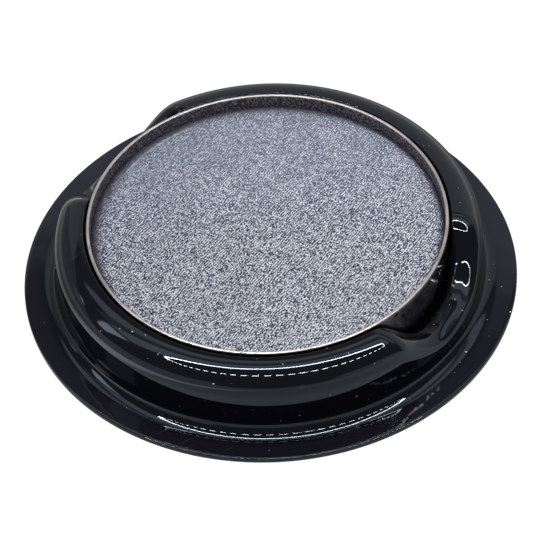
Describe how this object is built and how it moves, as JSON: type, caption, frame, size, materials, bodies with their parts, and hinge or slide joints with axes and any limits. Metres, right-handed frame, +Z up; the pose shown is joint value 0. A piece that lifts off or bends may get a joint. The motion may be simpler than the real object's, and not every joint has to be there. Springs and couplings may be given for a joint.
{
  "type": "pressed powder pan in insert tray",
  "caption": "Round metal pan of pressed shimmer powder that lifts out of a thin glossy black insert tray with finger notches.",
  "frame": {"origin": "centre of the tray's footprint, on the surface it stands on", "axes": "+Z up along the pan's axis; +X to the right and +Y to the back as it is usually looked at, with one finger notch at about -30 degrees and the other at about 142 degrees about +Z from +X"},
  "size_m": [0.036, 0.036, 0.0059],
  "materials": {
    "tray_plastic": "high gloss black moulded plastic",
    "pan_metal": "plain drawn metal",
    "powder": "pressed powder with fine pearl shimmer",
    "label_paper": "plain matt paper label"
  },
  "bodies": {
    "tray": {"insert_tray": "tray_plastic"},
    "refill": {"powder_pan": "pan_metal", "pressed_powder": "powder", "pan_label": "label_paper"}
  },
  "joints": [
    {"name": "pan_lift", "type": "slide", "parent": "tray", "child": "refill", "axis": [0, 0, 1], "range_m": [0, 0.008]}
  ]
}
